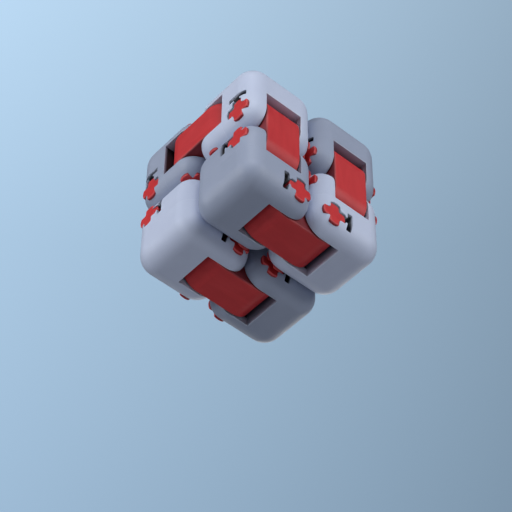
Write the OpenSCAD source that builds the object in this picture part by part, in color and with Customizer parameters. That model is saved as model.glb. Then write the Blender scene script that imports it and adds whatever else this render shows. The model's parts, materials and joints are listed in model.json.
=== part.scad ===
/*
Folding fidget cube: eight rounded blocks joined into one endless chain by eight
double-pivot links. Each block is two half-shells pushed together at the middle.
Each half-shell holds one cross-shaped axle, and a link turns on two such axles.

Frame, in millimetres: X to the right, Y to the back, Z up. The origin is in the
middle of the cube's underside. The cube is drawn folded shut.
*/

/* [Cube] */
// Width, depth and height of the folded cube
cube_size = 38; // [30:0.5:60]
// Free gap between neighbouring blocks
block_gap = 0.4; // [0.3:0.05:0.6]
// Rounding radius of the outer edges and corners of a block
edge_round = 4.6; // [1:0.1:5.6]

/* [Links] */
// Width of the notch that a link lies in, measured along the axle
notch_width = 9.6; // [6:0.1:11.8]
// Free gap at each side of a link in its notch
side_clearance = 0.2; // [0.15:0.05:0.4]
// Depth of a link's flat face below the block's face
link_recess = 0.1; // [0.05:0.05:0.3]
// Radius of the small bevel round a link's long edges
link_bevel = 0.3; // [0.1:0.05:0.6]

/* [Axles] */
// Diameter across the tips of the cross-shaped axle
axle_across = 6; // [4.2:0.1:7.2]
// Thickness of one arm of the cross
arm_thickness = 2.6; // [1.4:0.1:3.2]
// Bevel round the tips of an axle's ends
tip_bevel = 0.25; // [0.05:0.05:0.4]
// Depth of an axle's end below the block's face
axle_recess = 0.4; // [0.2:0.1:0.8]
// Radial running clearance between an axle's tips and the bore of a link
running_clearance = 0.05; // [0.03:0.01:0.09]

/* [Relief slots] */
// Length of the bar-shaped relief slot beside each axle hole
slot_length = 4.8; // [3:0.1:6]
// Width of the relief slot
slot_width = 1.4; // [0.8:0.1:1.8]
// Width of the material between the tip of the cross and the slot
slot_neck = 0.3; // [0.2:0.05:0.9]
// Width of the neck that joins the slot to the axle hole
neck_width = 1.6; // [0.8:0.1:2.4]

/* [Half-shell pegs] */
// Diameter of the peg that locates one half-shell on the other
peg_diameter = 2.8; // [1.6:0.1:3.4]
// Length of the peg
peg_length = 2.6; // [1.5:0.1:3.2]
// Radial gap round a peg in its socket
peg_clearance = 0.05; // [0.02:0.01:0.1]

/* [Colours] */
// Pale blocks
pale_colour = "#CDD3E2"; // [#CDD3E2, #F2F2F0, #B8D8E8]
// Grey blocks
grey_colour = "#A2A9B8"; // [#A2A9B8, #50545C, #7F8FA6]
// Links and axles
link_colour = "#C4373C"; // [#C4373C, #E08A1E, #2E7D4F]

/* [Hidden] */
$fn = 64;

// Overlap used where one solid cuts another, so that no face is left half cut
eps = 0.5;

// Distance between the middles of neighbouring blocks, and a block's width
pitch = (cube_size + block_gap) / 2;
block = pitch - block_gap;
half = block / 2;

// An axle lies a quarter pitch from the seam and a quarter pitch from the outer face
axle_inset = pitch / 4 - block_gap / 2;
axle_offset = half - axle_inset;

// The rounding is limited by the flat that every face keeps
least_flat = 1.5;
round_r = min(edge_round, half - least_flat);
flat = half - round_r;

// Link: a slab with two round ends, one round each axle
link_radius = axle_inset - link_recess;
link_span = pitch / 2;
link_width = notch_width - 2 * side_clearance;

// Axle, as long as the block is wide less its recess at each end
axle_r = axle_across / 2;
axle_length = block - 2 * axle_recess;

// Cheek: the wall between the notch and the side of the block
cheek = (block - notch_width) / 2;

// Distance from the axle to the middle of the relief slot
slot_centre = axle_r + slot_neck + slot_width / 2;

// Pegs, in the quarter of the middle plane where both half-shells are solid
peg_wall = 1.2;
peg_r = peg_diameter / 2;
peg_near = peg_wall + peg_r;
peg_far = half - peg_wall - peg_r;
socket_extra = 0.3;

X = [1, 0, 0];
Y = [0, 1, 0];
Z = [0, 0, 1];

// Blocks, named by where they are: [left or right, front or rear, lower or upper]
LFL = [-1, -1, -1];
LFR = [1, -1, -1];
LRL = [-1, 1, -1];
LRR = [1, 1, -1];
UFL = [-1, -1, 1];
UFR = [1, -1, 1];
URL = [-1, 1, 1];
URR = [1, 1, 1];

// ---------------------------------------------------------------- placing

// Middle of a block
function block_middle(at) = at * pitch / 2 + [0, 0, pitch - block_gap / 2];

// Puts a child drawn in a half-shell's own axes into the cube. A half-shell's own Z
// runs from the middle plane of the block outwards, its own Y points from the middle
// of the block to the axle, and its own X runs along the axle.
module in_half(at, own_y, own_z) {
    own_x = cross(own_y, own_z);
    m = block_middle(at);
    multmatrix([
        [own_x[0], own_y[0], own_z[0], m[0]],
        [own_x[1], own_y[1], own_z[1], m[1]],
        [own_x[2], own_y[2], own_z[2], m[2]]
    ])
    children();
}

// Puts a child drawn with its length along Z and its middle at the origin onto the
// axle of a half-shell
module on_axle(at, own_y, own_z) {
    in_half(at, own_y, own_z)
    translate([0, axle_offset, axle_offset])
    rotate([0, 90, 0])
    children();
}

// ---------------------------------------------------------------- half-shell

// Outline of a rounded wall: straight up from the middle plane, then a quarter arc
module wall_outline() {
    square([round_r, flat]);
    intersection() {
        translate([0, flat])
        circle(r = round_r);
        translate([0, flat])
        square(round_r);
    }
}

// Half of a block with round edges and corners, its cut face on Z = 0
module rounded_half() {
    translate([-flat, -flat, 0])
    cube([2 * flat, 2 * flat, half]);
    for (quarter = [0 : 3])
    rotate([0, 0, 90 * quarter]) {
        translate([flat, flat, 0])
        rotate_extrude(angle = 90)
        wall_outline();
        translate([flat, flat, 0])
        rotate([90, 0, 0])
        linear_extrude(height = 2 * flat)
        wall_outline();
    }
}

// The cross-shaped section, as a solid of the given length about the origin
module cross_bar(radius, arm_width, length) {
    intersection() {
        cylinder(r = radius, h = length, center = true);
        union() {
            cube([2 * radius + eps, arm_width, length + eps], center = true);
            cube([arm_width, 2 * radius + eps, length + eps], center = true);
        }
    }
}

// One half-shell in its own axes. The hand, 1 or -1, says on which side of the middle
// line its peg and socket lie.
module half_shell(hand) {
    difference() {
        union() {
            rounded_half();
            translate([-hand * peg_far, -peg_near, -peg_length])
            cylinder(r = peg_r, h = peg_length + eps);
        }
        // Notch for the link, open to the outer face and to the side
        translate([-notch_width / 2, 0, -eps])
        cube([notch_width, half + eps, half + 2 * eps]);
        // Cross-shaped hole for the axle
        translate([0, axle_offset, axle_offset])
        rotate([0, 90, 0])
        cross_bar(axle_r, arm_thickness, block + 2 * eps);
        // Relief slot in each cheek, and the neck that joins it to the axle hole
        for (side = [0, 1])
        mirror([side, 0, 0])
        translate([notch_width / 2, axle_offset, axle_offset]) {
            translate([0, -slot_centre - slot_width / 2, -slot_length / 2])
            cube([cheek + eps, slot_width, slot_length]);
            translate([0, -slot_centre, -neck_width / 2])
            cube([cheek + eps, slot_centre, neck_width]);
        }
        // Socket for the other half-shell's peg
        translate([-hand * peg_near, -peg_far, -eps])
        cylinder(r = peg_r + peg_clearance, h = peg_length + socket_extra + eps);
    }
}

// ---------------------------------------------------------------- link and axle

// A disc about the origin, its two rims bevelled
module bevelled_disc(radius, height, cut) {
    rotate_extrude()
    polygon([
        [0, -height / 2], [radius - cut, -height / 2], [radius, -height / 2 + cut],
        [radius, height / 2 - cut], [radius - cut, height / 2], [0, height / 2]
    ]);
}

// A bar along Y about the origin, its four long edges bevelled
module bevelled_bar(width, length, height, cut) {
    rotate([90, 0, 0])
    linear_extrude(height = length, center = true)
    polygon([
        [-width / 2 + cut, -height / 2], [width / 2 - cut, -height / 2],
        [width / 2, -height / 2 + cut], [width / 2, height / 2 - cut],
        [width / 2 - cut, height / 2], [-width / 2 + cut, height / 2],
        [-width / 2, height / 2 - cut], [-width / 2, -height / 2 + cut]
    ]);
}

// One link about its middle: its length along Y, its two bores along Z
module link_body() {
    difference() {
        union() {
            bevelled_bar(2 * link_radius, link_span, link_width, link_bevel);
            for (side = [-1, 1])
            translate([0, side * link_span / 2, 0])
            bevelled_disc(link_radius, link_width, link_bevel);
        }
        for (side = [-1, 1])
        translate([0, side * link_span / 2, 0])
        cylinder(r = axle_r + running_clearance, h = link_width + 2 * eps, center = true);
    }
}

// Puts a link between two blocks. face points out of the outer face that the link
// lies in, and along points from the first block to the second.
module link_at(at, face, along) {
    own_z = cross(face, along);
    m = block_middle(at) + along * pitch / 2 + face * axle_offset;
    multmatrix([
        [face[0], along[0], own_z[0], m[0]],
        [face[1], along[1], own_z[1], m[1]],
        [face[2], along[2], own_z[2], m[2]]
    ])
    link_body();
}

// One axle about its middle: a cross-shaped bar along Z with bevelled tips
module axle() {
    intersection() {
        cross_bar(axle_r, arm_thickness, axle_length);
        bevelled_disc(axle_r + tip_bevel / 2, axle_length, tip_bevel);
    }
}

// ---------------------------------------------------------------- sub-parts: half-shells

module lower_front_left_upper_half() {
    color(grey_colour)
    in_half(LFL, -Y, Z)
    half_shell(-1);
}

module lower_front_left_lower_half() {
    color(grey_colour)
    in_half(LFL, X, -Z)
    half_shell(-1);
}

module lower_front_right_upper_half() {
    color(pale_colour)
    in_half(LFR, -Y, Z)
    half_shell(1);
}

module lower_front_right_lower_half() {
    color(pale_colour)
    in_half(LFR, -X, -Z)
    half_shell(1);
}

module lower_rear_left_upper_half() {
    color(pale_colour)
    in_half(LRL, Y, Z)
    half_shell(1);
}

module lower_rear_left_lower_half() {
    color(pale_colour)
    in_half(LRL, X, -Z)
    half_shell(1);
}

module lower_rear_right_upper_half() {
    color(grey_colour)
    in_half(LRR, Y, Z)
    half_shell(-1);
}

module lower_rear_right_lower_half() {
    color(grey_colour)
    in_half(LRR, -X, -Z)
    half_shell(-1);
}

module upper_front_left_front_half() {
    color(pale_colour)
    in_half(UFL, -Z, -Y)
    half_shell(1);
}

module upper_front_left_rear_half() {
    color(pale_colour)
    in_half(UFL, -X, Y)
    half_shell(1);
}

module upper_front_right_front_half() {
    color(grey_colour)
    in_half(UFR, -Z, -Y)
    half_shell(-1);
}

module upper_front_right_rear_half() {
    color(grey_colour)
    in_half(UFR, X, Y)
    half_shell(-1);
}

module upper_rear_left_front_half() {
    color(grey_colour)
    in_half(URL, -X, -Y)
    half_shell(-1);
}

module upper_rear_left_rear_half() {
    color(grey_colour)
    in_half(URL, -Z, Y)
    half_shell(-1);
}

module upper_rear_right_front_half() {
    color(pale_colour)
    in_half(URR, X, -Y)
    half_shell(1);
}

module upper_rear_right_rear_half() {
    color(pale_colour)
    in_half(URR, -Z, Y)
    half_shell(1);
}

// ---------------------------------------------------------------- sub-parts: links

module front_left_link() {
    color(link_colour)
    link_at(LFL, -Y, Z);
}

module front_right_link() {
    color(link_colour)
    link_at(LFR, -Y, Z);
}

module bottom_front_link() {
    color(link_colour)
    link_at(LFL, -Z, X);
}

module bottom_rear_link() {
    color(link_colour)
    link_at(LRL, -Z, X);
}

module left_top_link() {
    color(link_colour)
    link_at(UFL, -X, Y);
}

module right_top_link() {
    color(link_colour)
    link_at(UFR, X, Y);
}

module rear_left_link() {
    color(link_colour)
    link_at(LRL, Y, Z);
}

module rear_right_link() {
    color(link_colour)
    link_at(LRR, Y, Z);
}

// ---------------------------------------------------------------- sub-parts: axles

module front_left_link_lower_axle() {
    color(link_colour)
    on_axle(LFL, -Y, Z)
    axle();
}

module front_left_link_upper_axle() {
    color(link_colour)
    on_axle(UFL, -Z, -Y)
    axle();
}

module front_right_link_lower_axle() {
    color(link_colour)
    on_axle(LFR, -Y, Z)
    axle();
}

module front_right_link_upper_axle() {
    color(link_colour)
    on_axle(UFR, -Z, -Y)
    axle();
}

module bottom_front_link_left_axle() {
    color(link_colour)
    on_axle(LFL, X, -Z)
    axle();
}

module bottom_front_link_right_axle() {
    color(link_colour)
    on_axle(LFR, -X, -Z)
    axle();
}

module bottom_rear_link_left_axle() {
    color(link_colour)
    on_axle(LRL, X, -Z)
    axle();
}

module bottom_rear_link_right_axle() {
    color(link_colour)
    on_axle(LRR, -X, -Z)
    axle();
}

module left_top_link_front_axle() {
    color(link_colour)
    on_axle(UFL, -X, Y)
    axle();
}

module left_top_link_rear_axle() {
    color(link_colour)
    on_axle(URL, -X, -Y)
    axle();
}

module right_top_link_front_axle() {
    color(link_colour)
    on_axle(UFR, X, Y)
    axle();
}

module right_top_link_rear_axle() {
    color(link_colour)
    on_axle(URR, X, -Y)
    axle();
}

module rear_left_link_lower_axle() {
    color(link_colour)
    on_axle(LRL, Y, Z)
    axle();
}

module rear_left_link_upper_axle() {
    color(link_colour)
    on_axle(URL, -Z, Y)
    axle();
}

module rear_right_link_lower_axle() {
    color(link_colour)
    on_axle(LRR, Y, Z)
    axle();
}

module rear_right_link_upper_axle() {
    color(link_colour)
    on_axle(URR, -Z, Y)
    axle();
}

// ---------------------------------------------------------------- drawing

lower_front_left_upper_half();
lower_front_left_lower_half();
lower_front_right_upper_half();
lower_front_right_lower_half();
lower_rear_left_upper_half();
lower_rear_left_lower_half();
lower_rear_right_upper_half();
lower_rear_right_lower_half();
upper_front_left_front_half();
upper_front_left_rear_half();
upper_front_right_front_half();
upper_front_right_rear_half();
upper_rear_left_front_half();
upper_rear_left_rear_half();
upper_rear_right_front_half();
upper_rear_right_rear_half();
front_left_link();
front_right_link();
bottom_front_link();
bottom_rear_link();
left_top_link();
right_top_link();
rear_left_link();
rear_right_link();
front_left_link_lower_axle();
front_left_link_upper_axle();
front_right_link_lower_axle();
front_right_link_upper_axle();
bottom_front_link_left_axle();
bottom_front_link_right_axle();
bottom_rear_link_left_axle();
bottom_rear_link_right_axle();
left_top_link_front_axle();
left_top_link_rear_axle();
right_top_link_front_axle();
right_top_link_rear_axle();
rear_left_link_lower_axle();
rear_left_link_upper_axle();
rear_right_link_lower_axle();
rear_right_link_upper_axle();
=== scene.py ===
"""Looks of the folding fidget cube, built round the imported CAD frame.

Eight rounded plastic blocks form one endless chain. Each block is two half-shells
pushed together at its middle. Eight red links join the blocks, and every link turns
on two red cross-shaped axles, whose ends show in the sides of the blocks.

Each piece is shaped in its own axes in millimetres, then placed in the row frame in
metres. Its own axes stay on the mesh as an attribute, so that a finish can follow
the shape of the piece wherever it sits in the cube.
"""

import json
import logging
import math
import random
from dataclasses import dataclass
from enum import Enum
from functools import partial

import bmesh
import bpy
from bmesh.types import BMesh
from bpy.types import ID, Material, Mesh, Node, NodeSocket, NodeTree, Object
from mathutils import Matrix, Vector

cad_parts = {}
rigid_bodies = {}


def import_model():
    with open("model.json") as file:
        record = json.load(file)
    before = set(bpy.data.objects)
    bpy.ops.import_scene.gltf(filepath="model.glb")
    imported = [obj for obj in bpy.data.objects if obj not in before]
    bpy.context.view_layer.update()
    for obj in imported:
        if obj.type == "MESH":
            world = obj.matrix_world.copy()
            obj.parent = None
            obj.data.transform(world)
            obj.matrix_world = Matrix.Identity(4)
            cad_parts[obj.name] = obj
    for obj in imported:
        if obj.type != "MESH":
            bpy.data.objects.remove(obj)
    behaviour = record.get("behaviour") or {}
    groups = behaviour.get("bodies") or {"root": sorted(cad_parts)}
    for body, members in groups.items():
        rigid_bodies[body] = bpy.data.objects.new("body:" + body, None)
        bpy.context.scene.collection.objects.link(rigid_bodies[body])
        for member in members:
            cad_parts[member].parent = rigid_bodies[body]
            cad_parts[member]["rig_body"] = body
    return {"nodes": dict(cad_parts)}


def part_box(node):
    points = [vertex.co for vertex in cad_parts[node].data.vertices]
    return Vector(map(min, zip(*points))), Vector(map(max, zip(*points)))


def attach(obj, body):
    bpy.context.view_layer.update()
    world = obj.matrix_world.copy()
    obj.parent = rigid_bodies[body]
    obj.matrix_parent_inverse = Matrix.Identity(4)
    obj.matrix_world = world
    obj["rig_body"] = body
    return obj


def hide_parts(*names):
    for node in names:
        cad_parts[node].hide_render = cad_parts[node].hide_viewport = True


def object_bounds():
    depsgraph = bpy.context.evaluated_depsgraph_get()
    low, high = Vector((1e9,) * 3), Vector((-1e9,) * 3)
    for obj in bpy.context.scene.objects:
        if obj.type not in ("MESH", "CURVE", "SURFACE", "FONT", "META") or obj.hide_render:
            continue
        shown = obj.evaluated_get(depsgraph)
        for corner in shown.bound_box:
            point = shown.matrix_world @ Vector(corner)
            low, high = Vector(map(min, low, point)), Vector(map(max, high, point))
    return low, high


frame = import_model()
CAD_BOX = [list(corner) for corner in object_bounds()]

log = logging.getLogger("fidget_cube")

MM = 0.001
WELD = 0.02
SHORTEST_EDGE = 0.01
FLAT_TURN = math.radians(0.4)
SHARP_TURN = math.radians(28)
BEVEL_TURN = math.radians(35)
STRAIGHT_TURN = math.radians(20)
BAR_SIDES = 40
PLASTIC_IOR = 1.53
PLASTIC_SPECULAR = 0.35
# Kinds of node that several trees use
MATH = "ShaderNodeMath"
VECTOR = "ShaderNodeVectorMath"
NOISE = "ShaderNodeTexNoise"
RANGE = "ShaderNodeMapRange"
MIX = "ShaderNodeMix"
ATTRIBUTE = "ShaderNodeAttribute"
COMBINE = "ShaderNodeCombineXYZ"
SEPARATE = "ShaderNodeSeparateXYZ"
TRANSFORM = "GeometryNodeTransform"
JOIN = "GeometryNodeJoinGeometry"

# Attributes on the meshes
OWN = "own_mm"
GRAIN = "grain_mm"
RIM = "rim"
SEED = 38


# ---- small tools


def srgb(code: str) -> tuple[float, float, float, float]:
    """Turn an sRGB hex colour into a linear one.

    Args:
        code: The colour, such as "#C4373C".

    Returns:
        Linear red, green, blue and an alpha of 1.
    """
    channels = [int(code[i : i + 2], 16) / 255 for i in (1, 3, 5)]
    linear = [c / 12.92 if c <= 0.04045 else ((c + 0.055) / 1.055) ** 2.4 for c in channels]
    return (*linear, 1.0)


def feed(tree: NodeTree, node: Node, inputs: dict) -> None:
    """Give some inputs of a node their values and links.

    Args:
        tree: The tree that the node is in.
        node: The node.
        inputs: For an input's name or number, the value it holds, or the socket or
            the node that feeds it. A node feeds it from its first output.
    """
    for key, value in inputs.items():
        source = value.outputs[0] if isinstance(value, Node) else value
        if isinstance(source, NodeSocket):
            tree.links.new(source, node.inputs[key])
        else:
            node.inputs[key].default_value = source


def add(tree: NodeTree, kind: str, inputs: dict | None = None, **settings) -> Node:
    """Add a node with its settings, values and links.

    Args:
        tree: The tree that the node goes into.
        kind: The node's type name.
        inputs: What each input gets, as for feed.
        **settings: Properties of the node, set before its inputs.

    Returns:
        The new node.
    """
    node = tree.nodes.new(kind)
    for key, value in settings.items():
        setattr(node, key, value)
    feed(tree, node, inputs or {})
    return node


def new_object(name: str, data: ID) -> Object:
    """Put a new object in the scene.

    Args:
        name: Name of the object.
        data: Its mesh, lamp or camera.

    Returns:
        The new object.
    """
    made = bpy.data.objects.new(name, data)
    bpy.context.scene.collection.objects.link(made)
    return made


def object_from(name: str, bm: BMesh) -> Object:
    """Turn a bmesh into an object in the scene and free the bmesh.

    Args:
        name: Name of the object and its mesh.
        bm: The shape. It is freed.

    Returns:
        The new object.
    """
    mesh = bpy.data.meshes.new(name)
    bm.to_mesh(mesh)
    bm.free()
    return new_object(name, mesh)


def bake_modifiers(shape: Object) -> Mesh:
    """Return the mesh an object has after its modifiers, and remove the object.

    Args:
        shape: A scratch object with live modifiers.

    Returns:
        A plain mesh that stands on its own.
    """
    graph = bpy.context.evaluated_depsgraph_get()
    mesh = bpy.data.meshes.new_from_object(
        shape.evaluated_get(graph), preserve_all_data_layers=True, depsgraph=graph
    )
    old = shape.data
    bpy.data.objects.remove(shape)
    bpy.data.meshes.remove(old)
    return mesh


def middle_of(*nodes: str) -> Vector:
    """Find the middle of the box round some CAD nodes.

    Args:
        *nodes: The nodes' names.

    Returns:
        The middle, in metres.
    """
    boxes = [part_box(node) for node in nodes]
    low = Vector(min(box[0][i] for box in boxes) for i in range(3))
    high = Vector(max(box[1][i] for box in boxes) for i in range(3))
    return (low + high) / 2


# ---- named options


class Way(Enum):
    """A direction in the row frame."""

    RIGHT = (1, 0, 0)
    LEFT = (-1, 0, 0)
    BACK = (0, 1, 0)
    FRONT = (0, -1, 0)
    UP = (0, 0, 1)
    DOWN = (0, 0, -1)

    @property
    def vector(self) -> Vector:
        """The direction as a vector."""
        return Vector(self.value)


class Hand(Enum):
    """On which side of the middle line a half-shell has its peg."""

    LEFT = -1
    RIGHT = 1


class Tone(Enum):
    """The two plastics that the blocks are moulded in, by material slot."""

    PALE = "pale_shell"
    GREY = "grey_shell"


# ---- sizes


@dataclass(frozen=True)
class CubeSizes:
    """The cube's sizes in millimetres, as in the CAD source."""

    cube: float = 38.0
    gap: float = 0.4
    round_radius: float = 4.6
    notch: float = 9.6
    side_clearance: float = 0.2
    link_recess: float = 0.1
    link_bevel: float = 0.3
    axle_across: float = 6.0
    arm: float = 2.6
    tip_bevel: float = 0.25
    axle_recess: float = 0.4
    running_clearance: float = 0.05
    slot_length: float = 4.8
    slot_width: float = 1.4
    slot_neck: float = 0.3
    neck_width: float = 1.6
    peg: float = 2.8
    peg_length: float = 2.6
    peg_clearance: float = 0.05
    peg_wall: float = 1.2
    socket_extra: float = 0.3

    @property
    def pitch(self) -> float:
        """Distance between the middles of neighbouring blocks."""
        return (self.cube + self.gap) / 2

    @property
    def block(self) -> float:
        """Width of a block."""
        return self.pitch - self.gap

    @property
    def half(self) -> float:
        """Half the width of a block."""
        return self.block / 2

    @property
    def flat(self) -> float:
        """Distance from a block's middle to where its rounding starts."""
        return self.half - self.round_radius

    @property
    def axle_offset(self) -> float:
        """Distance of an axle from the block's middle, along two axes."""
        return self.half - self.pitch / 4 + self.gap / 2

    @property
    def peg_places(self) -> tuple[float, float]:
        """Distances of a peg's axis from the block's two other middle planes."""
        radius = self.peg / 2
        return self.peg_wall + radius, self.half - self.peg_wall - radius

    @property
    def slot_centre(self) -> float:
        """Distance from the axle to the middle of the relief slot."""
        return self.axle_across / 2 + self.slot_neck + self.slot_width / 2


SIZES = CubeSizes()


# ---- outlines


Outline = list[tuple[float, float]]


def softened(corners: Outline, radius: float, steps: int = 3) -> Outline:
    """Round the corners of a closed outline, as a moulding tool's cutter does.

    Args:
        corners: The corner points in order.
        radius: Radius of the rounding; a corner flatter than 20 degrees stays.
        steps: Straight pieces in each rounded corner.

    Returns:
        The points of the softened outline in order.
    """
    result: Outline = []
    for i, corner in enumerate(corners):
        here = Vector(corner)
        before = Vector(corners[i - 1]) - here
        after = Vector(corners[(i + 1) % len(corners)]) - here
        turn = math.pi - before.angle(after)
        if turn < STRAIGHT_TURN:
            result.append(tuple(here))
            continue
        reach = min(radius * math.tan(turn / 2), 0.45 * before.length, 0.45 * after.length)
        first = here + before.normalized() * reach
        last = here + after.normalized() * reach
        for step in range(steps + 1):
            t = step / steps
            result.append(tuple((1 - t) ** 2 * first + 2 * t * (1 - t) * here + t**2 * last))
    return result


def cross_outline(radius: float, arm: float, tail: Outline) -> Outline:
    """Outline of a cross with rounded tips about the origin.

    Args:
        radius: Distance from the middle to a tip.
        arm: Width of one arm.
        tail: Points that break the tip on the side of minus X, or none.

    Returns:
        The points in order, counterclockwise.
    """
    tip = math.asin(arm / 2 / radius)
    points: Outline = []
    for quarter in range(4):
        middle = math.radians(90 * quarter)
        for step in range(-2, 3):
            angle = middle + tip * step / 2
            x, y = radius * math.cos(angle), radius * math.sin(angle)
            if tail and quarter == 2 and abs(y) < tail[0][1]:
                points += tail if step == 0 else []
            else:
                points.append((x, y))
        corner = middle + math.radians(45)
        diagonal = arm / 2 * math.sqrt(2)
        points.append((diagonal * math.cos(corner), diagonal * math.sin(corner)))
    return points


def prism(name: str, outline: Outline, low: float, high: float, to_own: Matrix) -> Object:
    """Make a solid bar with a given section.

    Args:
        name: Name of the object.
        outline: The section's points, in the bar's own X and Y.
        low: Where the bar starts along its own Z.
        high: Where it ends.
        to_own: Turns and moves the bar into the piece's axes.

    Returns:
        The bar as an object.
    """
    bm = bmesh.new()
    start = [bm.verts.new((x, y, low)) for x, y in outline]
    end = [bm.verts.new((x, y, high)) for x, y in outline]
    bm.faces.new(reversed(start))
    bm.faces.new(end)
    for i in range(len(outline)):
        j = (i + 1) % len(outline)
        bm.faces.new((start[i], start[j], end[j], end[i]))
    bm.transform(to_own)
    bmesh.ops.recalc_face_normals(bm, faces=bm.faces)
    return object_from(name, bm)


def round_bar(name: str, radius: float, low: float, high: float, at: tuple[float, float]) -> Object:
    """Make a round bar along Z.

    Args:
        name: Name of the object.
        radius: Its radius.
        low: Where it starts along Z.
        high: Where it ends.
        at: X and Y of its axis.

    Returns:
        The bar as an object.
    """
    turns = [2 * math.pi * i / BAR_SIDES for i in range(BAR_SIDES)]
    outline = [(at[0] + radius * math.cos(t), at[1] + radius * math.sin(t)) for t in turns]
    return prism(name, outline, low, high, Matrix.Identity(4))


# ---- finishes


def blank_material(name: str) -> tuple[Material, NodeTree, Node]:
    """Start a material.

    Args:
        name: What the surface is.

    Returns:
        The material, its node tree and its surface shader.
    """
    material = bpy.data.materials.new(name)
    material.use_nodes = True
    tree = material.node_tree
    tree.nodes.clear()
    shader = add(tree, "ShaderNodeBsdfPrincipled")
    add(tree, "ShaderNodeOutputMaterial", {"Surface": shader.outputs["BSDF"]})
    return material, tree, shader


def dress_plastic(
    tree: NodeTree,
    shader: Node,
    reliefs: tuple[tuple[Node, float, float], ...],
) -> None:
    """Stack bumps on one another and set what all moulded plastics share.

    Args:
        tree: The material's node tree.
        shader: Its surface shader.
        reliefs: For each bump, its height, its strength and its depth in mm.
    """
    normal = {}
    for height, strength, depth in reliefs:
        values = {"Height": height, "Strength": strength, "Distance": depth * MM}
        normal = {"Normal": add(tree, "ShaderNodeBump", values | normal)}
    shared = {"IOR": PLASTIC_IOR, "Specular IOR Level": PLASTIC_SPECULAR}
    feed(tree, shader, shared | normal)


@dataclass(frozen=True)
class SparkTexturedShell:
    """ABS shell, injection-moulded in a cavity with a fine spark-eroded texture.

    The texture makes the face satin, with a soft broad highlight. Fingers polish the
    rounded edges, so these shine a little more, and the tool's cut rims stay sharp
    and catch the light. Painted shade darkens the notches and slots, the more the
    deeper they lie, and a near-black painted shade fills the depths of the slots and
    axle holes.
    """

    name: str
    body: str
    cloud: str
    cavity: str
    hole_shade: str
    rim: str
    roughness: float = 0.55

    def make(self) -> Material:
        """Build the material.

        Returns:
            The finished material.
        """
        material, tree, shader = blank_material(self.name)
        put = partial(add, tree)
        own = put(ATTRIBUTE, attribute_name=OWN).outputs["Vector"]
        grain = put(ATTRIBUTE, attribute_name=GRAIN).outputs["Vector"]

        # How far a point lies below the rounded outside of the block, in mm
        span = put(VECTOR, {0: own}, operation="ABSOLUTE")
        flat = (SIZES.flat,) * 3
        over = put(VECTOR, {0: span, 1: flat}, operation="SUBTRACT")
        outer = put(VECTOR, {0: over, 1: (0, 0, 0)}, operation="MAXIMUM")
        reach = put(VECTOR, {0: outer}, operation="LENGTH").outputs["Value"]
        part = put(SEPARATE, {0: over})
        most = put(MATH, {0: part.outputs[0], 1: part.outputs[1]}, operation="MAXIMUM")
        most = put(MATH, {0: most, 1: part.outputs[2]}, operation="MAXIMUM")
        inner = put(MATH, {0: most, 1: 0.0}, operation="MINIMUM")
        depth = put(MATH, {0: SIZES.round_radius, 1: reach}, operation="SUBTRACT")
        depth = put(MATH, {0: depth, 1: inner}, operation="SUBTRACT")
        # Painted shade: the cavity colour comes in the deeper a point lies below the outside
        shade = put(RANGE, {0: depth, 1: 0.15, 2: 3.6}, interpolation_type="SMOOTHSTEP")
        # 1 deep in the slots and axle holes of the cheeks, which see no light, where a
        # near-black painted shade goes on
        hole_shade_mask = put(RANGE, {0: depth, 1: 0.04, 2: 0.7})
        sideways = put(SEPARATE, {0: span})
        cheek = put(MATH, {0: sideways, 1: SIZES.notch / 2 + 0.2}, operation="GREATER_THAN")
        hole_shade_mask = put(MATH, {0: hole_shade_mask, 1: cheek}, operation="MULTIPLY")
        # 1 on the rounded edges and corners, 0 on the flats
        handled = put(RANGE, {0: most, 1: 4.5, 2: 3.0}, interpolation_type="SMOOTHSTEP")

        # Clouds 9 mm wide from the way the plastic flowed, and spark craters 0.35 mm
        # wide, three times the real width so that they show
        cloud = put(NOISE, {"Vector": grain, "Scale": 0.11, "Detail": 3.0})
        crater = put(NOISE, {"Vector": grain, "Scale": 2.9, "Detail": 2.5, "Roughness": 0.62})
        # Scuffs 0.4 mm wide and a few millimetres long
        streak = put(
            "ShaderNodeMapping",
            {"Vector": grain, "Rotation": (0.5, 0.9, 0.35), "Scale": (0.22, 2.4, 0.9)},
        )
        scuff = put(NOISE, {"Vector": streak, "Scale": 1.0, "Detail": 4.0})
        scuff = put(RANGE, {0: scuff, 1: 0.63, 2: 0.72})
        rim = put(ATTRIBUTE, attribute_name=RIM).outputs["Fac"]
        chipped = put(RANGE, {0: cloud, 1: 0.42, 2: 0.6, 3: 0.25, 4: 0.8})
        worn = put(MATH, {0: rim, 1: chipped}, operation="MULTIPLY")

        patch = put(RANGE, {0: cloud, 1: 0.3, 2: 0.7})
        tint = put(
            MIX, {0: patch, 6: srgb(self.body), 7: srgb(self.cloud)}, data_type="RGBA"
        ).outputs[2]
        fleck = put(RANGE, {0: crater, 1: 0.3, 2: 0.75, 3: 0.0, 4: 0.22})
        # The flecks and the worn rims are the plastic's own colour; the cavity colour and the
        # near-black for the holes are painted shade
        layers = ((fleck, self.cloud), (shade, self.cavity), (hole_shade_mask, self.hole_shade), (worn, self.rim))
        for share, colour in layers:
            tint = put(MIX, {0: share, 6: tint, 7: srgb(colour)}, data_type="RGBA").outputs[2]

        low, high = self.roughness - 0.05, self.roughness + 0.06
        rough = put(RANGE, {0: cloud, 1: 0.3, 2: 0.7, 3: low, 4: high})
        for share, change in ((handled, -0.09), (scuff, 0.1), (shade, 0.12)):
            rough = put(MATH, {0: share, 1: change, 2: rough}, operation="MULTIPLY_ADD")
        feed(tree, shader, {"Base Color": tint, "Roughness": rough})

        # Sinks, scuffs and pores, with their strength and depth in mm
        reliefs = ((cloud, 0.35, 0.06), (scuff, 0.3, -0.01), (crater, 0.55, 0.03))
        dress_plastic(tree, shader, reliefs)
        return material


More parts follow.
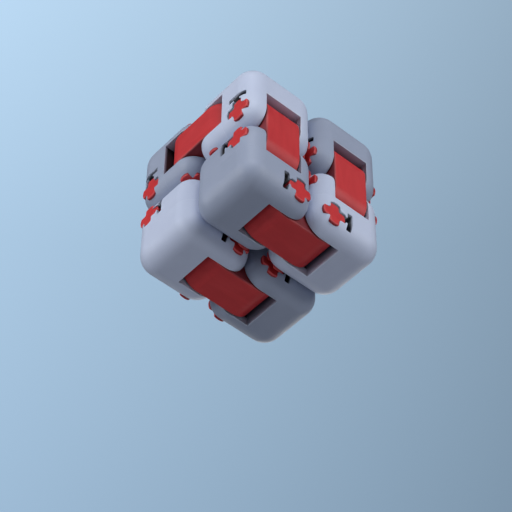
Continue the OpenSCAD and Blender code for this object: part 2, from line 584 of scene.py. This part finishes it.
@dataclass(frozen=True)
class SatinRedPlastic:
    """Red ABS from a polished cavity, for the parts that turn.

    The polished steel leaves a smooth, satin face. Faint flow lines run along the
    part, and its rims, which rub on the blocks, are lighter and duller. The sides that
    lie in a notch or a hole get a darker painted shade. side_span gives the distance
    along the axle, from the piece's middle, where this shade starts and where it is
    full.
    """

    name: str
    body: str
    flow: str
    rim: str
    side: str
    side_span: tuple[float, float]
    roughness: float
    flow_scale: tuple[float, float, float]

    def make(self) -> Material:
        """Build the material.

        Returns:
            The finished material.
        """
        material, tree, shader = blank_material(self.name)
        put = partial(add, tree)
        grain = put(ATTRIBUTE, attribute_name=GRAIN).outputs["Vector"]
        rim = put(ATTRIBUTE, attribute_name=RIM).outputs["Fac"]

        # Flow lines about 1.5 mm apart, clouds 6 mm wide, and a fine grain 0.4 mm wide
        stretched = put("ShaderNodeMapping", {"Vector": grain, "Scale": self.flow_scale})
        flow = put(NOISE, {"Vector": stretched, "Scale": 1.0, "Detail": 3.0, "Distortion": 0.6})
        cloud = put(NOISE, {"Vector": grain, "Scale": 0.16, "Detail": 2.0})
        fine = put(NOISE, {"Vector": grain, "Scale": 2.5, "Detail": 2.0})

        band = put(RANGE, {0: flow, 1: 0.35, 2: 0.68})
        tint = put(
            MIX, {0: band, 6: srgb(self.body), 7: srgb(self.flow)}, data_type="RGBA"
        ).outputs[2]
        # Painted shade: the sides that lie in a notch or a hole take the darker side colour
        own = put(ATTRIBUTE, attribute_name=OWN).outputs["Vector"]
        along = put(SEPARATE, {0: own}).outputs[2]
        along = put(MATH, {0: along}, operation="ABSOLUTE")
        start, full = self.side_span
        side = put(RANGE, {0: along, 1: start, 2: full})
        tint = put(MIX, {0: side, 6: tint, 7: srgb(self.side)}, data_type="RGBA").outputs[2]
        chipped = put(RANGE, {0: cloud, 1: 0.4, 2: 0.62, 3: 0.2, 4: 0.75})
        worn = put(MATH, {0: rim, 1: chipped}, operation="MULTIPLY")
        tint = put(MIX, {0: worn, 6: tint, 7: srgb(self.rim)}, data_type="RGBA").outputs[2]

        low, high = self.roughness - 0.06, self.roughness + 0.07
        rough = put(RANGE, {0: cloud, 1: 0.3, 2: 0.7, 3: low, 4: high})
        rough = put(MATH, {0: worn, 1: 0.12, 2: rough}, operation="MULTIPLY_ADD")
        feed(tree, shader, {"Base Color": tint, "Roughness": rough})

        # Ripples and a fine skin, with their strength and depth in mm
        dress_plastic(tree, shader, ((flow, 0.3, 0.03), (fine, 0.4, 0.012)))
        return material


# The shells' cavity colour and near-black for the holes, and the red parts' side colour, are
# painted shade; the rim colours are wear
FINISHES = {
    "pale_shell": SparkTexturedShell(
        "pale_spark_textured_abs", body="#C5D0E9", cloud="#BFCAE4", cavity="#4B5771",
        hole_shade="#171A27", rim="#D6DEF0",
    ),
    "grey_shell": SparkTexturedShell(
        "grey_spark_textured_abs", body="#9DA8C0", cloud="#96A1B9", cavity="#3C4558",
        hole_shade="#13151F", rim="#AEB9CC",
    ),
    "red_link": SatinRedPlastic(
        "red_satin_abs_link", body="#C8363B", flow="#C03036", rim="#D25A5C", side="#7A2229",
        side_span=(4.3, 4.5), roughness=0.52, flow_scale=(0.7, 0.12, 0.5),
    ),
    "red_axle": SatinRedPlastic(
        "red_satin_acetal_axle", body="#CE363A", flow="#C63136", rim="#D65A5C", side="#96282E",
        side_span=(8.8, 8.6), roughness=0.46, flow_scale=(0.7, 0.7, 0.1),
    ),
}


# ---- placing pieces


def own_axes(own_x: Vector, own_y: Vector, own_z: Vector, middle: Vector) -> Matrix:
    """Matrix from a piece's own axes in millimetres to the row frame in metres.

    Args:
        own_x: The piece's X in the row frame.
        own_y: Its Y.
        own_z: Its Z.
        middle: Its origin in the row frame, in metres.

    Returns:
        The placing matrix.
    """
    turn = Matrix((own_x, own_y, own_z)).transposed().to_4x4()
    return Matrix.Translation(middle) @ turn @ Matrix.Scale(MM, 4)


@dataclass
class Workshop:
    """Dresses and places finished meshes, and keeps count of them."""

    materials: dict[str, Material]
    draw: random.Random
    pieces: int = 0

    def place(self, mesh: Mesh, name: str, node: str, slot: str, matrix: Matrix) -> None:
        """Put a copy of a mesh in the cube in the place of one CAD node.

        Args:
            mesh: The shape in its own axes, in millimetres.
            name: Name of the piece.
            node: The CAD node that the piece stands for.
            slot: The material slot that gives its finish.
            matrix: From the piece's own axes to the row frame.
        """
        own = mesh.copy()
        own.name = name
        count = len(own.vertices)
        flat = [0.0] * (3 * count)
        own.vertices.foreach_get("co", flat)
        offset = [self.draw.uniform(-90, 90) for _ in range(3)]
        for label, shift in ((OWN, (0.0, 0.0, 0.0)), (GRAIN, offset)):
            values = own.attributes.new(label, "FLOAT_VECTOR", "POINT")
            values.data.foreach_set("vector", [v + shift[i % 3] for i, v in enumerate(flat)])
        own.transform(matrix)
        own.materials.clear()
        own.materials.append(self.materials[slot])
        piece = new_object(name, own)
        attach(piece, frame["nodes"][node]["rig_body"])
        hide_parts(node)
        self.pieces += 1
        log.info("%s: %d faces, for %s", name, len(own.polygons), node)


def mark_rims(mesh: Mesh) -> None:
    """Turn the bevel's own material number into the rim attribute on the faces.

    Args:
        mesh: A mesh whose broken edges have material number 1.
    """
    numbers = [0] * len(mesh.polygons)
    mesh.polygons.foreach_get("material_index", numbers)
    rim = mesh.attributes.new(RIM, "FLOAT", "FACE")
    rim.data.foreach_set("value", [float(n > 0) for n in numbers])
    mesh.polygons.foreach_set("material_index", [0] * len(numbers))


def weigh_normals(shape: Object) -> None:
    """Let the large faces of a shape set the normals where they meet small ones.

    Args:
        shape: The shape. It gets the modifier that does this.
    """
    normals = shape.modifiers.new("normals", "WEIGHTED_NORMAL")
    normals.mode = "FACE_AREA"
    normals.weight = 100
    normals.keep_sharp = True


def soften_rims(shape: Object, width: float, segments: int, weighted: bool) -> Mesh:
    """Break the sharp edges of a shape and return its final mesh.

    Args:
        shape: The shape with sharp edges.
        width: Width of the broken edge, in mm.
        segments: Faces across the broken edge.
        weighted: True to take each edge's share of the width from its weight.

    Returns:
        The finished mesh, with the rim attribute.
    """
    shape.data.materials.clear()
    for label in ("face", "rim"):
        shape.data.materials.append(bpy.data.materials.new(f"scratch_{label}"))
    bevel = shape.modifiers.new("rims", "BEVEL")
    bevel.width = width
    bevel.segments = segments
    bevel.limit_method = "WEIGHT" if weighted else "ANGLE"
    bevel.angle_limit = BEVEL_TURN
    bevel.use_clamp_overlap = False
    bevel.loop_slide = False
    bevel.material = 1
    bevel.miter_outer = "MITER_ARC"
    weigh_normals(shape)
    scratch = list(shape.data.materials)
    mesh = bake_modifiers(shape)
    mark_rims(mesh)
    mesh.materials.clear()
    for material in scratch:
        bpy.data.materials.remove(material)
    return mesh


# ---- blocks


@dataclass
class HalfShell:
    """One moulded half of a block, in its own axes in millimetres.

    Its Z runs from the block's middle plane outwards, its Y from the block's middle
    to the axle, and its X along the axle.
    """

    hand: Hand
    arc_steps: int = 14
    rim_width: float = 0.16
    seam_share: float = 0.15
    corner: float = 0.28
    surface_error: float = 0.004
    beyond: float = 3.0

    def rounded_half(self) -> Object:
        """Make half of a block with rounded edges and corners.

        Returns:
            The half, closed at the block's middle plane.
        """
        bm = bmesh.new()
        bmesh.ops.create_cube(bm, size=SIZES.block)
        bmesh.ops.bevel(
            bm,
            geom=bm.edges[:],
            offset=SIZES.round_radius,
            offset_type="OFFSET",
            segments=self.arc_steps,
            profile=0.5,
            affect="EDGES",
        )
        everything = bm.verts[:] + bm.edges[:] + bm.faces[:]
        cut = bmesh.ops.bisect_plane(
            bm, geom=everything, plane_co=(0, 0, 0), plane_no=(0, 0, -1), clear_outer=True
        )
        rim = [g for g in cut["geom_cut"] if isinstance(g, bmesh.types.BMEdge)]
        bmesh.ops.contextual_create(bm, geom=rim)
        bmesh.ops.recalc_face_normals(bm, faces=bm.faces)
        return object_from(f"half_{self.hand.name}", bm)

    def window_outline(self) -> Outline:
        """Draw the axle hole, its neck and the relief slot as one outline.

        Returns:
            The outline's points about the axle.
        """
        radius = SIZES.axle_across / 2
        near = -(SIZES.slot_centre - SIZES.slot_width / 2)
        far = near - SIZES.slot_width
        neck, bar = SIZES.neck_width / 2, SIZES.slot_length / 2
        start = -math.sqrt(radius**2 - neck**2)
        side = [(start, neck), (near, neck), (near, bar), (far, bar)]
        tail = side + [(x, -y) for x, y in reversed(side)]
        return softened(cross_outline(radius, SIZES.arm, tail), self.corner)

    def cutters(self) -> list[Object]:
        """Make the solids that are taken out of the rounded half.

        Returns:
            The notch, the window and the socket, as objects.
        """
        out = SIZES.half + self.beyond
        notch = SIZES.notch / 2
        corners = [(-notch, 0.0), (notch, 0.0), (notch, out), (-notch, out)]
        aside = SIZES.axle_offset
        along_x = Matrix(((0, 0, 1, 0), (1, 0, 0, aside), (0, 1, 0, aside), (0, 0, 0, 1)))
        near, far = SIZES.peg_places
        depth = SIZES.peg_length + SIZES.socket_extra
        bore = SIZES.peg / 2 + SIZES.peg_clearance
        return [
            prism("notch", corners, -self.beyond, out, Matrix.Identity(4)),
            prism("window", self.window_outline(), -out, out, along_x),
            round_bar("socket", bore, -self.beyond, depth, (-self.hand.value * near, -far)),
        ]

    def peg(self) -> Object:
        """Make the peg that reaches into the other half-shell.

        Returns:
            The peg as an object.
        """
        near, far = SIZES.peg_places
        place = (-self.hand.value * far, -near)
        return round_bar("peg", SIZES.peg / 2, -SIZES.peg_length, 1.0, place)

    def weigh_edges(self, shape: Object) -> None:
        """Say which edges are broken, and how much.

        Args:
            shape: The cut half-shell. The seam's rim gets a small share, so that a
                closed block shows a hairline there.
        """
        bm = bmesh.new()
        bm.from_mesh(shape.data)
        bmesh.ops.remove_doubles(bm, verts=bm.verts, dist=WELD)
        bmesh.ops.dissolve_degenerate(bm, dist=SHORTEST_EDGE, edges=bm.edges)
        bmesh.ops.dissolve_limit(bm, angle_limit=FLAT_TURN, verts=bm.verts, edges=bm.edges)
        layer = bm.edges.layers.float.new("bevel_weight_edge")
        for face in bm.faces:
            face.smooth = True
        for edge in bm.edges:
            if not edge.is_manifold or edge.calc_face_angle_signed() < SHARP_TURN:
                continue
            if all(self.in_window(vertex.co) for vertex in edge.verts):
                edge.smooth = False
                continue
            on_seam = all(abs(vertex.co.z) < SHORTEST_EDGE for vertex in edge.verts)
            edge[layer] = self.seam_share if on_seam else 1.0
        bm.to_mesh(shape.data)
        bm.free()

    def in_window(self, place: Vector) -> bool:
        """Tell whether a point lies on the rim or walls of the axle hole or the slot.

        Args:
            place: The point, in the half-shell's axes.

        Returns:
            True if it does.
        """
        radius = SIZES.axle_across / 2
        across, up = (place[i] - SIZES.axle_offset for i in (1, 2))
        far = SIZES.slot_centre + SIZES.slot_width / 2
        return -far - WELD < across < radius + WELD and abs(up) < radius + WELD

    def build(self) -> Mesh:
        """Shape the half-shell.

        Returns:
            Its finished mesh.
        """
        shape = self.rounded_half()
        tools = [("UNION", self.peg())] + [("DIFFERENCE", cutter) for cutter in self.cutters()]
        for operation, tool in tools:
            step = shape.modifiers.new(tool.name, "BOOLEAN")
            step.operation = operation
            step.solver = "EXACT"
            step.object = tool
        mesh = bake_modifiers(shape)
        for _, tool in tools:
            bpy.data.objects.remove(tool)
        cut = new_object("cut_half", mesh)
        self.weigh_edges(cut)
        finished = soften_rims(cut, self.rim_width, segments=2, weighted=True)
        self.true_normals(finished)
        return finished

    def true_normals(self, mesh: Mesh) -> None:
        """Give the outside of the block the exact normals of its flats and rounding.

        Args:
            mesh: The finished half-shell.
        """
        normals = [corner.vector.copy() for corner in mesh.corner_normals]
        for loop in mesh.loops:
            place = mesh.vertices[loop.vertex_index].co
            over = Vector(math.copysign(max(abs(c) - SIZES.flat, 0.0), c) for c in place)
            if abs(over.length - SIZES.round_radius) < self.surface_error:
                normals[loop.index] = over.normalized()
        mesh.normals_split_custom_set(normals)


@dataclass
class Block:
    """A block of the cube: two half-shells of one plastic."""

    name: str
    tone: Tone
    hand: Hand
    halves: dict[str, tuple[Way, Way]]

    def build(self, shop: Workshop, shells: dict[Hand, Mesh]) -> None:
        """Place the block's two half-shells.

        Args:
            shop: Places and dresses the pieces.
            shells: The half-shell's mesh for each hand.
        """
        nodes = {where: f"{self.name}_{where}_half" for where in self.halves}
        middle = middle_of(*nodes.values())
        for where, (own_y, own_z) in self.halves.items():
            y, z = own_y.vector, own_z.vector
            matrix = own_axes(y.cross(z), y, z, middle)
            name = f"{self.name}_{where}_shell"
            shop.place(shells[self.hand], name, nodes[where], self.tone.value, matrix)


# ---- links and axles


@dataclass
class ShapeRule:
    """A Geometry Nodes tree that makes one shape from named sizes."""

    name: str

    def start(self, sizes: dict[str, float], outline: bool) -> tuple[NodeTree, Node]:
        """Start the tree.

        Args:
            sizes: Default of each named size, in mm.
            outline: True if the tree starts from an outline that it is given.

        Returns:
            The tree and its group input.
        """
        tree = bpy.data.node_groups.new(self.name, "GeometryNodeTree")
        tree.interface.new_socket("Geometry", in_out="OUTPUT", socket_type="NodeSocketGeometry")
        if outline:
            tree.interface.new_socket("Outline", in_out="INPUT", socket_type="NodeSocketGeometry")
        for label, size in sizes.items():
            socket = tree.interface.new_socket(label, in_out="INPUT", socket_type="NodeSocketFloat")
            socket.default_value = size
        socket = tree.interface.new_socket(
            "Finish", in_out="INPUT", socket_type="NodeSocketMaterial"
        )
        return tree, add(tree, "NodeGroupInput")

    def end(self, tree: NodeTree, given: Node, shape: Node) -> None:
        """End the tree with smooth, real, dressed geometry.

        Args:
            tree: The tree.
            given: Its group input.
            shape: The node whose geometry is finished.
        """
        smooth = add(tree, "GeometryNodeSetShadeSmooth", {"Geometry": shape})
        real = add(tree, "GeometryNodeRealizeInstances", {"Geometry": smooth})
        dressed = add(
            tree, "GeometryNodeSetMaterial", {"Geometry": real, "Material": given.outputs["Finish"]}
        )
        add(tree, "NodeGroupOutput", {"Geometry": dressed})

    def run(
        self,
        tree: NodeTree,
        sizes: dict[str, float],
        finish: Material,
        base: Mesh,
    ) -> Object:
        """Run the tree and return its result as a plain object.

        Args:
            tree: The finished tree.
            sizes: Value of each named size, in mm.
            finish: The material that the tree sets.
            base: The mesh that the tree starts from, which may be empty.

        Returns:
            An object with the resulting mesh.
        """
        holder = new_object(self.name, base)
        modifier = holder.modifiers.new(self.name, "NODES")
        modifier.node_group = tree
        for item in tree.interface.items_tree:
            if item.in_out == "INPUT" and item.socket_type != "NodeSocketGeometry":
                modifier[item.identifier] = finish if item.name == "Finish" else sizes[item.name]
        return new_object(self.name, bake_modifiers(holder))


@dataclass
class LinkShape(ShapeRule):
    """A link in its own axes: X out of the block's face, Y along it, Z along the axles."""

    name: str = "link_rule"
    arc_points: int = 28
    weld: float = 0.001

    def build(self, finish: Material) -> Mesh:
        """Make the link: a slab with two round ends and two bores.

        Args:
            finish: The material that the tree sets.

        Returns:
            Its finished mesh.
        """
        radius = SIZES.pitch / 4 - SIZES.gap / 2 - SIZES.link_recess
        sizes = {
            "Radius": radius,
            "Span": SIZES.pitch / 2,
            "Width": SIZES.notch - 2 * SIZES.side_clearance,
            "Bore": SIZES.axle_across / 2 + SIZES.running_clearance,
        }
        tree, given = self.start(sizes, outline=False)
        put = partial(add, tree)
        across = put(MATH, {0: given.outputs["Radius"], 1: 2.0}, operation="MULTIPLY")
        length = put(MATH, {0: across, 1: given.outputs["Span"]}, operation="ADD")
        slab = put("GeometryNodeCurvePrimitiveQuadrilateral", {"Width": across, "Height": length})
        corners = {"Radius": given.outputs["Radius"], "Count": self.arc_points}
        corners |= {"Curve": slab, "Limit Radius": True}
        outline = put("GeometryNodeFilletCurve", corners, mode="POLY")
        merged = [outline]
        for side in (-0.5, 0.5):
            bore = put(
                "GeometryNodeCurvePrimitiveCircle",
                {"Resolution": 2 * self.arc_points, "Radius": given.outputs["Bore"]},
            )
            along = put(MATH, {0: given.outputs["Span"], 1: side}, operation="MULTIPLY")
            shift = put(COMBINE, {1: along})
            moved = put(TRANSFORM, {"Geometry": bore, "Translation": shift})
            merged.append(moved)
        curves = put(JOIN)
        for piece in merged:
            feed(tree, curves, {0: piece})
        face = put("GeometryNodeFillCurve", {"Curve": curves}, mode="NGONS")
        raised = put(
            "GeometryNodeExtrudeMesh",
            {"Mesh": face, "Offset Scale": given.outputs["Width"], "Individual": False},
            mode="FACES",
        )
        under = put("GeometryNodeFlipFaces", {"Mesh": face})
        solid = put(JOIN)
        for piece in (raised, under):
            feed(tree, solid, {0: piece})
        closed = put("GeometryNodeMergeByDistance", {"Geometry": solid, "Distance": self.weld})
        down = put(MATH, {0: given.outputs["Width"], 1: -0.5}, operation="MULTIPLY")
        drop = put(COMBINE, {2: down})
        centred = put(TRANSFORM, {"Geometry": closed, "Translation": drop})
        self.end(tree, given, centred)
        made = self.run(tree, sizes, finish, bpy.data.meshes.new(self.name))
        return soften_rims(made, SIZES.link_bevel, segments=3, weighted=False)


@dataclass
class AxleShape(ShapeRule):
    """An axle about its middle: a cross-shaped bar along Z with rounded ends."""

    name: str = "axle_rule"
    corner: float = 0.4
    arc_points: int = 5
    weld: float = 0.004

    def outline(self) -> Mesh:
        """Draw the cross as a closed loop of edges in the plane of X and Y.

        Returns:
            The loop as a mesh without faces.
        """
        corners = cross_outline(SIZES.axle_across / 2, SIZES.arm, [])
        points = softened(corners, self.corner)
        mesh = bpy.data.meshes.new("axle_outline")
        count = len(points)
        edges = [(i, (i + 1) % count) for i in range(count)]
        mesh.from_pydata([(x, y, 0) for x, y in points], edges, [])
        return mesh

    def build(self, finish: Material) -> Mesh:
        """Make the axle: sweep its rounded side round the cross and close its ends.

        Args:
            finish: The material that the tree sets.

        Returns:
            Its finished mesh.
        """
        sizes = {"Half Length": SIZES.block / 2 - SIZES.axle_recess, "Rounding": SIZES.tip_bevel}
        tree, given = self.start(sizes, outline=True)
        put = partial(add, tree)
        half, rounding = (given.outputs[label] for label in sizes)
        inset = put(MATH, {0: rounding, 1: -1.0}, operation="MULTIPLY")
        straight = put(MATH, {0: half, 1: rounding}, operation="SUBTRACT")
        cross = put("GeometryNodeMeshToCurve", {"Mesh": given.outputs["Outline"]})
        pieces = []
        for side in (-1.0, 1.0):
            turn = put(MATH, {0: straight, 1: side}, operation="MULTIPLY")
            level = put(MATH, {0: half, 1: side}, operation="MULTIPLY")
            start = math.radians(-90 if side < 0 else 0)
            angles = {"Start Angle": start, "Sweep Angle": math.radians(90)}
            bend = {"Resolution": self.arc_points, "Radius": rounding}
            arc = put("GeometryNodeCurveArc", bend | angles)
            shift = put(COMBINE, {0: inset, 1: turn})
            arc = put(TRANSFORM, {"Geometry": arc, "Translation": shift})
            rounded = put("GeometryNodeCurveToMesh", {"Curve": cross, "Profile Curve": arc})
            marked = put(
                "GeometryNodeStoreNamedAttribute",
                {"Geometry": rounded, "Name": RIM, "Value": 1.0},
                data_type="FLOAT",
                domain="FACE",
            )
            pieces.append(marked)
            normal = put("GeometryNodeInputNormal")
            inward = put(VECTOR, {0: normal, "Scale": inset}, operation="SCALE")
            smaller = put("GeometryNodeSetPosition", {"Geometry": cross, "Offset": inward})
            cap = put("GeometryNodeFillCurve", {"Curve": smaller}, mode="NGONS")
            lift = put(COMBINE, {2: level})
            pieces.append(put(TRANSFORM, {"Geometry": cap, "Translation": lift}))
        low = put(MATH, {0: straight, 1: -1.0}, operation="MULTIPLY")
        ends = [put(COMBINE, {1: level}) for level in (low, straight)]
        line = put("GeometryNodeCurvePrimitiveLine", {"Start": ends[0], "End": ends[1]})
        pieces.append(put("GeometryNodeCurveToMesh", {"Curve": cross, "Profile Curve": line}))
        solid = put(JOIN)
        for piece in pieces:
            feed(tree, solid, {0: piece})
        closed = put("GeometryNodeMergeByDistance", {"Geometry": solid, "Distance": self.weld})
        self.end(tree, given, closed)
        made = self.run(tree, sizes, finish, self.outline())
        bm = bmesh.new()
        bm.from_mesh(made.data)
        bmesh.ops.recalc_face_normals(bm, faces=bm.faces)
        bm.to_mesh(made.data)
        bm.free()
        made.data.materials.clear()
        weigh_normals(made)
        return bake_modifiers(made)


@dataclass
class Hinge:
    """A link of the chain with the two axles that it turns on."""

    name: str
    face: Way
    along: Way
    axle_ends: tuple[str, str]

    def build(self, shop: Workshop, link: Mesh, axle: Mesh) -> None:
        """Place the link and its two axles.

        Args:
            shop: Places and dresses the pieces.
            link: The link's mesh.
            axle: The axle's mesh.
        """
        out, along = self.face.vector, self.along.vector
        turning = out.cross(along)
        matrix = own_axes(out, along, turning, middle_of(self.name))
        shop.place(link, f"{self.name}_body", self.name, "red_link", matrix)
        for end in self.axle_ends:
            node = f"{self.name}_{end}_axle"
            matrix = own_axes(out, along, turning, middle_of(node))
            shop.place(axle, f"{self.name}_{end}_cross", node, "red_axle", matrix)


BLOCKS = [
    Block(
        "lower_front_left", Tone.GREY, Hand.LEFT,
        {"upper": (Way.FRONT, Way.UP), "lower": (Way.RIGHT, Way.DOWN)},
    ),
    Block(
        "lower_front_right", Tone.PALE, Hand.RIGHT,
        {"upper": (Way.FRONT, Way.UP), "lower": (Way.LEFT, Way.DOWN)},
    ),
    Block(
        "lower_rear_left", Tone.PALE, Hand.RIGHT,
        {"upper": (Way.BACK, Way.UP), "lower": (Way.RIGHT, Way.DOWN)},
    ),
    Block(
        "lower_rear_right", Tone.GREY, Hand.LEFT,
        {"upper": (Way.BACK, Way.UP), "lower": (Way.LEFT, Way.DOWN)},
    ),
    Block(
        "upper_front_left", Tone.PALE, Hand.RIGHT,
        {"front": (Way.DOWN, Way.FRONT), "rear": (Way.LEFT, Way.BACK)},
    ),
    Block(
        "upper_front_right", Tone.GREY, Hand.LEFT,
        {"front": (Way.DOWN, Way.FRONT), "rear": (Way.RIGHT, Way.BACK)},
    ),
    Block(
        "upper_rear_left", Tone.GREY, Hand.LEFT,
        {"front": (Way.LEFT, Way.FRONT), "rear": (Way.DOWN, Way.BACK)},
    ),
    Block(
        "upper_rear_right", Tone.PALE, Hand.RIGHT,
        {"front": (Way.RIGHT, Way.FRONT), "rear": (Way.DOWN, Way.BACK)},
    ),
]

HINGES = [
    Hinge("front_left_link", Way.FRONT, Way.UP, ("lower", "upper")),
    Hinge("front_right_link", Way.FRONT, Way.UP, ("lower", "upper")),
    Hinge("bottom_front_link", Way.DOWN, Way.RIGHT, ("left", "right")),
    Hinge("bottom_rear_link", Way.DOWN, Way.RIGHT, ("left", "right")),
    Hinge("left_top_link", Way.LEFT, Way.BACK, ("front", "rear")),
    Hinge("right_top_link", Way.RIGHT, Way.BACK, ("front", "rear")),
    Hinge("rear_left_link", Way.BACK, Way.UP, ("lower", "upper")),
    Hinge("rear_right_link", Way.BACK, Way.UP, ("lower", "upper")),
]


# ---- studio


@dataclass(frozen=True)
class SoftBox:
    """A square studio light that points at the cube."""

    name: str
    place: tuple[float, float, float]
    side: float
    power: float
    colour: str

    def build(self, target: Vector) -> None:
        """Put the light in the scene.

        Args:
            target: The point that it faces, in metres.
        """
        lamp = bpy.data.lights.new(self.name, "AREA")
        lamp.shape = "SQUARE"
        lamp.size = self.side
        lamp.energy = self.power
        lamp.color = srgb(self.colour)[:3]
        held = new_object(self.name, lamp)
        held.location = self.place
        held.rotation_euler = (target - held.location).to_track_quat("-Z", "Y").to_euler()


@dataclass
class Studio:
    """Pale floor far below, a pale blue sky, soft lights and the camera.

    The cube hangs clear of the floor, as its underside faces the camera.
    """

    floor_height: float = -0.36
    floor_side: float = 24.0
    eye: tuple[float, float, float] = (-0.1768, -0.2060, -0.2982)
    aim: tuple[float, float, float] = (0.0047, 0.0062, 0.0120)
    roll: float = 0.8
    lens: float = 135.7
    lights: tuple[SoftBox, ...] = (
        SoftBox("key_softbox", (-0.42, -0.49, 0.48), 0.45, 2.1, "#FFFFFF"),
        SoftBox("front_softbox", (0.15, -0.62, 0.10), 0.45, 2.5, "#FFFFFF"),
        SoftBox("left_softbox", (-0.62, 0.12, 0.10), 0.45, 2.9, "#FFFFFF"),
        SoftBox("rear_fill_softbox", (0.50, 0.46, 0.12), 0.45, 1.5, "#FFFFFF"),
    )
    sky: tuple[tuple[float, str], ...] = (
        (-0.2, "#6E8499"),
        (0.62, "#8DA7BF"),
        (0.744, "#9BB6CE"),
        (0.84, "#AECAE2"),
        (1.0, "#C6DDF0"),
    )
    sky_dim_way: tuple[float, float, float] = (0.76, -0.65, 0.0)

    def build_floor(self) -> None:
        """Lay the floor: a large board in matt pale grey paint, rolled on."""
        bm = bmesh.new()
        bmesh.ops.create_grid(bm, x_segments=8, y_segments=8, size=self.floor_side / 2)
        bmesh.ops.translate(bm, verts=bm.verts, vec=(0, 0, self.floor_height))
        floor = object_from("studio_floor", bm)
        material, tree, shader = blank_material("pale_grey_matt_paint")
        put = partial(add, tree)
        place = put("ShaderNodeTexCoord").outputs["Object"]
        # Roller marks 20 mm wide and a stipple of 2 mm
        wash = put(NOISE, {"Vector": place, "Scale": 50.0, "Detail": 3.0})
        stipple = put(NOISE, {"Vector": place, "Scale": 500.0, "Detail": 1.0})
        tint = put(
            MIX, {0: wash, 6: srgb("#B9BBC0"), 7: srgb("#BEC0C5")}, data_type="RGBA"
        ).outputs[2]
        bump = put("ShaderNodeBump", {"Height": stipple, "Strength": 0.2, "Distance": 0.1 * MM})
        # The far floor, beyond the lamps' reach, stays pale to the eye and lights nothing
        seen = put("ShaderNodeLightPath").outputs["Is Camera Ray"]
        paint = {"Base Color": tint, "Roughness": 0.85, "Normal": bump}
        glow = {"Emission Strength": seen, "Emission Color": srgb("#8299AE")}
        feed(tree, shader, paint | glow)
        floor.data.materials.append(material)

    def build_sky(self) -> None:
        """Paint the sky: darker at the horizon and on one side, lighter overhead."""
        world = bpy.data.worlds.new("pale_blue_sky")
        world.use_nodes = True
        tree = world.node_tree
        tree.nodes.clear()
        put = partial(add, tree)
        way = put("ShaderNodeTexCoord").outputs["Generated"]
        height = put(SEPARATE, {0: way}).outputs[2]
        share = put(RANGE, {0: height, 1: self.sky[0][0], 2: 1.0})
        ramp = put("ShaderNodeValToRGB", {0: share})
        steps = ramp.color_ramp.elements
        while len(steps) < len(self.sky):
            steps.new(1.0)
        for step, (level, colour) in zip(steps, self.sky):
            step.position = (level - self.sky[0][0]) / (1 - self.sky[0][0])
            step.color = srgb(colour)
        # The sky dims from the left to the right of the cube's front corner
        turned = put(
            VECTOR, {0: way, 1: self.sky_dim_way}, operation="DOT_PRODUCT"
        ).outputs["Value"]
        strength = put(RANGE, {0: turned, 1: -0.14, 2: 0.2, 3: 1.26, 4: 0.63})
        glow = put("ShaderNodeBackground", {"Color": ramp, "Strength": strength})
        put("ShaderNodeOutputWorld", {"Surface": glow})
        # The sky is only seen: the cube's light comes from the lamps and the floor
        world.cycles_visibility.diffuse = False
        world.cycles_visibility.glossy = False
        bpy.context.scene.world = world

    def build_camera(self) -> None:
        """Set the camera below the cube's front left corner, looking up."""
        data = bpy.data.cameras.new("camera")
        data.lens = self.lens
        data.clip_start = 0.01
        camera = new_object("camera", data)
        eye, aim = Vector(self.eye), Vector(self.aim)
        turn = (aim - eye).to_track_quat("-Z", "Y").to_matrix().to_4x4()
        roll = Matrix.Rotation(math.radians(self.roll), 4, "Z")
        camera.matrix_world = Matrix.Translation(eye) @ turn @ roll
        bpy.context.scene.camera = camera

    def build(self, target: Vector) -> None:
        """Set up the whole studio.

        Args:
            target: The middle of the cube, in metres.
        """
        self.build_floor()
        self.build_sky()
        for light in self.lights:
            light.build(target)
        self.build_camera()
        bpy.context.scene.view_settings.view_transform = "Standard"
        log.info("studio: floor, sky, %d lights and camera", len(self.lights))


# ---- main


def main() -> None:
    """Build the cube's pieces in order, then the studio."""
    logging.basicConfig(level=logging.INFO, format="%(name)s: %(message)s")
    low, high = (Vector(corner) for corner in CAD_BOX)
    shop = Workshop(
        {slot: finish.make() for slot, finish in FINISHES.items()},
        random.Random(SEED),
    )
    shells = {hand: HalfShell(hand).build() for hand in Hand}
    for block in BLOCKS:
        block.build(shop, shells)
    link = LinkShape().build(shop.materials["red_link"])
    axle = AxleShape().build(shop.materials["red_axle"])
    for hinge in HINGES:
        hinge.build(shop, link, axle)
    for mesh in (*shells.values(), link, axle):
        bpy.data.meshes.remove(mesh)
    Studio().build((low + high) / 2)
    log.info("%d pieces", shop.pieces)


if __name__ == "__main__":
    main()
